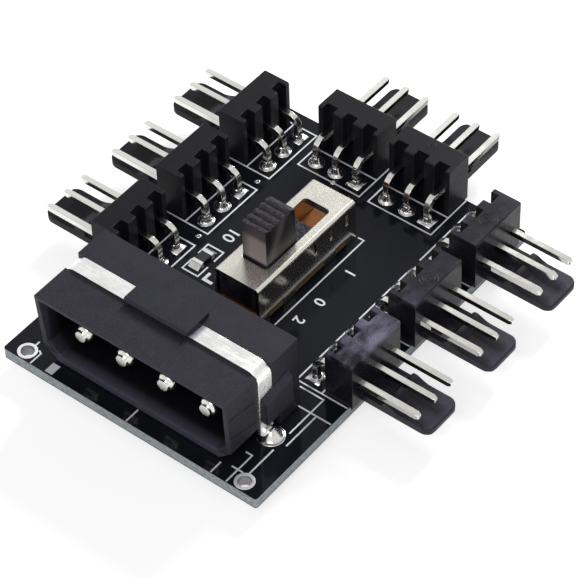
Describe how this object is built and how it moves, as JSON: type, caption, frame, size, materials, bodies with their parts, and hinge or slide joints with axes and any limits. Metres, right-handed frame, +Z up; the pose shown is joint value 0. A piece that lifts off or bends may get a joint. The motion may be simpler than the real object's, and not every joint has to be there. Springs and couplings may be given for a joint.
{
  "type": "pc fan controller hub",
  "caption": "Small circuit board that shares one power socket among fan headers along three edges, with a slide switch in the middle.",
  "frame": {"origin": "on the board's underside, midway between the two front corner holes", "axes": "+X right along the power socket's edge, +Y from the power socket to the far edge, +Z up out of the component side"},
  "size_m": [0.0482, 0.0515, 0.0126],
  "materials": {
    "board": "glossy black solder mask",
    "solder": "shiny solder and tinned rings",
    "tin": "bright tin",
    "nickel": "nickelled sheet",
    "terminal_brass": "silvered brass",
    "phenolic": "brown phenolic board",
    "black_nylon": "black moulded nylon",
    "smoky_nylon": "black moulded nylon with a pale sheen",
    "chip_ceramic": "glazed chip with tinned ends",
    "chip_clear": "clear chip lamp on a white carrier"
  },
  "bodies": {
    "board": {"circuit_board": "board", "corner_hole_plating": "solder", "header_solder_joints": "solder", "power_socket_housing": "black_nylon", "power_socket_strap": "tin", "power_solder_joints": "solder", "switch_frame": "nickel", "switch_base": "phenolic", "switch_solder_joints": "solder", "chip_resistor": "chip_ceramic", "chip_led": "chip_clear", "chip_solder_joints": "solder", "fan_header_left_1_housing": "black_nylon", "fan_header_left_1_pin_1": "tin", "fan_header_left_1_pin_2": "tin", "fan_header_left_1_pin_3": "tin", "fan_header_left_2_housing": "black_nylon", "fan_header_left_2_pin_1": "tin", "fan_header_left_2_pin_2": "tin", "fan_header_left_2_pin_3": "tin", "fan_header_left_3_housing": "black_nylon", "fan_header_left_3_pin_1": "tin", "fan_header_left_3_pin_2": "tin", "fan_header_left_3_pin_3": "tin", "fan_header_back_1_housing": "black_nylon", "fan_header_back_1_pin_1": "tin", "fan_header_back_1_pin_2": "tin", "fan_header_back_1_pin_3": "tin", "fan_header_back_2_housing": "black_nylon", "fan_header_back_2_pin_1": "tin", "fan_header_back_2_pin_2": "tin", "fan_header_back_2_pin_3": "tin", "fan_header_right_1_housing": "smoky_nylon", "fan_header_right_1_pin_1": "tin", "fan_header_right_1_pin_2": "tin", "fan_header_right_1_pin_3": "tin", "fan_header_right_2_housing": "smoky_nylon", "fan_header_right_2_pin_1": "tin", "fan_header_right_2_pin_2": "tin", "fan_header_right_2_pin_3": "tin", "fan_header_right_3_housing": "smoky_nylon", "fan_header_right_3_pin_1": "tin", "fan_header_right_3_pin_2": "tin", "fan_header_right_3_pin_3": "tin", "power_pin_1": "tin", "power_pin_2": "tin", "power_pin_3": "tin", "power_pin_4": "tin", "switch_terminal_1": "terminal_brass", "switch_terminal_2": "terminal_brass", "switch_terminal_3": "terminal_brass", "switch_terminal_4": "terminal_brass", "switch_terminal_5": "terminal_brass", "switch_terminal_6": "terminal_brass", "switch_terminal_7": "terminal_brass", "switch_terminal_8": "terminal_brass"},
    "slider": {"switch_slider": "black_nylon", "switch_contact_clip_1": "terminal_brass", "switch_contact_clip_2": "terminal_brass"}
  },
  "joints": [
    {"name": "slider_travel", "type": "slide", "parent": "board", "child": "slider", "axis": [0, 1, 0], "range_m": [0, 0.005]}
  ]
}
